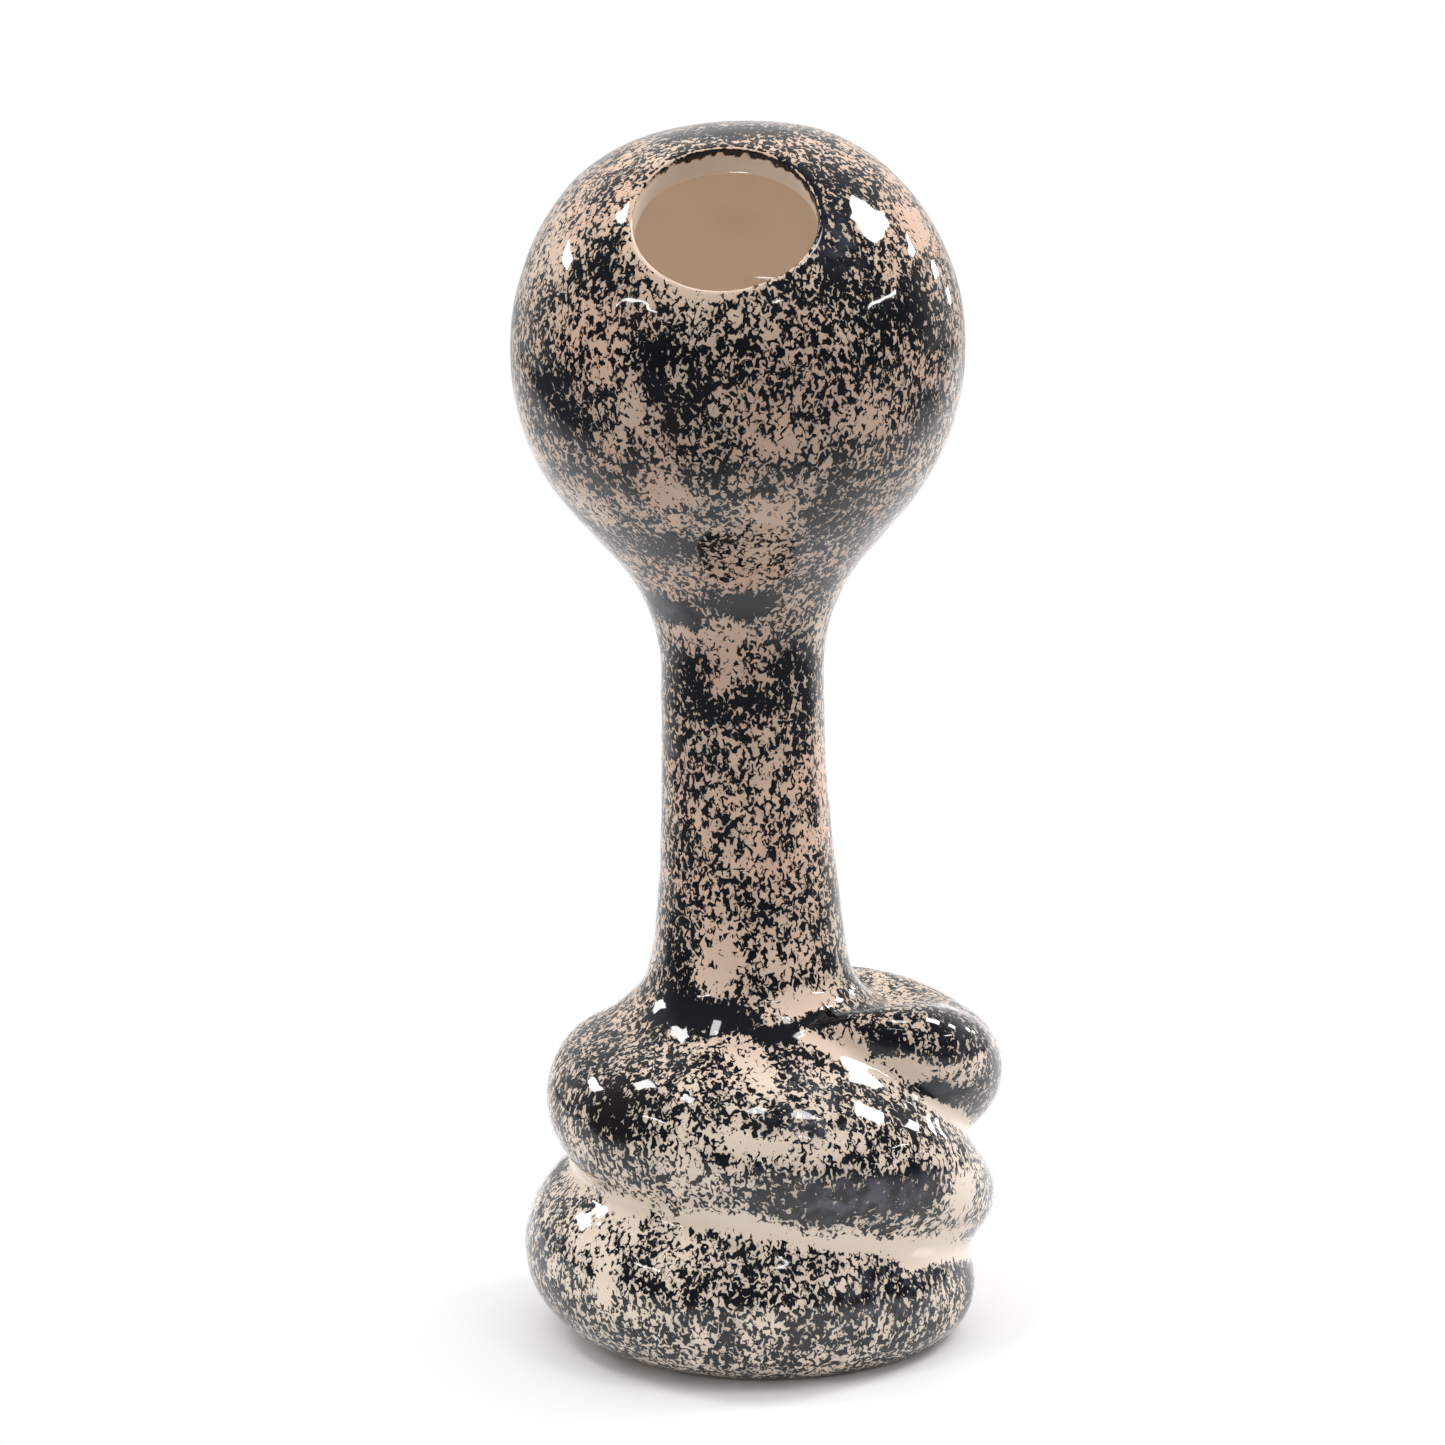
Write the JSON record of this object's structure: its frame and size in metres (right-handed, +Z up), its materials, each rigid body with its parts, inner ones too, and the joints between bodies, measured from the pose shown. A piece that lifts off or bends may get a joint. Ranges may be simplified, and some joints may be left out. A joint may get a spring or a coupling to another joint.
{
  "type": "bud vase",
  "caption": "Ceramic bud vase: a hollow globe head with a tilted round mouth on a slender neck that rises from a body wound like a coiled rope.",
  "frame": {"origin": "on the flat underside of the foot, where the axis of the neck meets it", "axes": "+Z up along the neck, -Y towards the side the mouth looks to, +X to the right of a viewer in front"},
  "size_m": [0.0875, 0.082, 0.2195],
  "materials": {
    "sponged_glaze": "clear gloss glaze over pale clay sponged with black slip",
    "foot_clay": "pale fired clay, wiped bare on its underside"
  },
  "bodies": {
    "root": {"foot_slab": "foot_clay", "tail_coil": "sponged_glaze", "lower_coil": "sponged_glaze", "upper_coil": "sponged_glaze", "neck": "sponged_glaze", "head_bowl": "sponged_glaze", "head_dome": "sponged_glaze", "mouth_lip": "sponged_glaze"}
  },
  "joints": []
}
